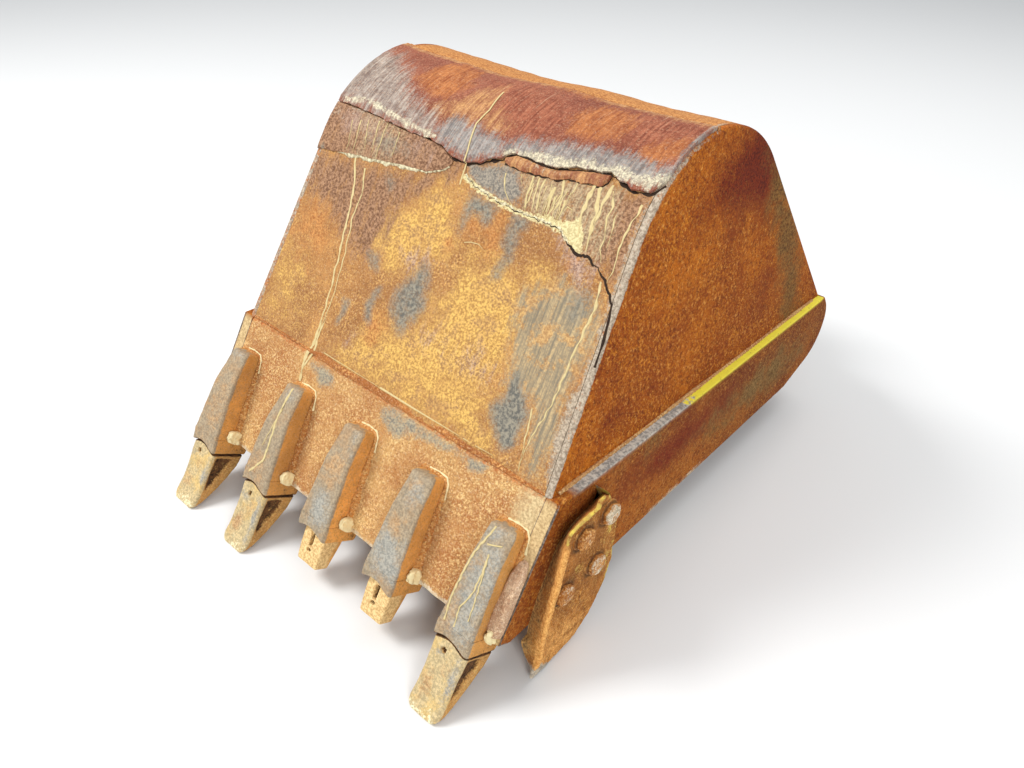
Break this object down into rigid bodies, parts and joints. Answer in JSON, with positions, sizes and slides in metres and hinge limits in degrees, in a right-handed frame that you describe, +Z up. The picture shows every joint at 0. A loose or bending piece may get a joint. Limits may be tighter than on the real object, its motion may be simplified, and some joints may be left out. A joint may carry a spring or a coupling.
{
  "type": "excavator bucket",
  "caption": "Worn digging bucket of a crawler excavator, mouth down, with toothed lip, bolted side cutter, torn heel plate and hinge ears.",
  "frame": {"origin": "centre of the whole footprint on the ground it stands on, 24.5 mm from the middle between the side bars, because only the +X side has its cutter", "axes": "+X across the bucket towards its first-seen side, +Y from the teeth to the hinge ears, +Z up"},
  "size_m": [0.949, 1.5577, 0.85],
  "materials": {
    "floor_steel": "rusted gold and orange, worn grey in patches",
    "heel_steel": "red-brown rust, scraped grey along its lower edge",
    "lip_steel": "orange rust",
    "side_steel": "deep red-brown to orange rust",
    "bar_steel": "rusted, yellow paint left on the upper edge",
    "adapter_steel": "worn grey tops, rusty sides",
    "tooth_steel": "sandy brown, worn",
    "pin_steel": "dark, rusty",
    "tab_steel": "pale weld, dusty",
    "cutter_steel": "ochre rust with some yellow paint left",
    "bolt_steel": "rusty",
    "ear_steel": "rusty with worn paint"
  },
  "bodies": {
    "root": {"wrapper": "floor_steel", "heel_plate": "heel_steel", "floor_patch": "heel_steel", "lip_plate": "lip_steel", "rear_edge_bar": "side_steel", "side_plate_left": "side_steel", "side_plate_right": "side_steel", "side_bar_left": "bar_steel", "side_bar_right": "bar_steel", "adapter_1": "adapter_steel", "adapter_2": "adapter_steel", "adapter_3": "adapter_steel", "adapter_4": "adapter_steel", "adapter_5": "adapter_steel", "tooth_point_1": "tooth_steel", "tooth_point_2": "tooth_steel", "tooth_point_5": "tooth_steel", "lock_pin_1": "pin_steel", "lock_pin_2": "pin_steel", "lock_pin_5": "pin_steel", "lip_tab_1": "tab_steel", "lip_tab_2": "tab_steel", "lip_tab_3": "tab_steel", "lip_tab_4": "tab_steel", "lip_tab_5": "tab_steel", "side_cutter": "cutter_steel", "cutter_bolt_1": "bolt_steel", "cutter_bolt_2": "bolt_steel", "cutter_bolt_3": "bolt_steel", "cutter_bolt_4": "bolt_steel", "hinge_ear_left": "ear_steel", "hinge_ear_right": "ear_steel", "arm_ring_left": "ear_steel", "arm_ring_right": "ear_steel", "link_ring_left": "ear_steel", "link_ring_right": "ear_steel", "ear_gusset_left": "ear_steel", "ear_gusset_right": "ear_steel"}
  },
  "joints": []
}
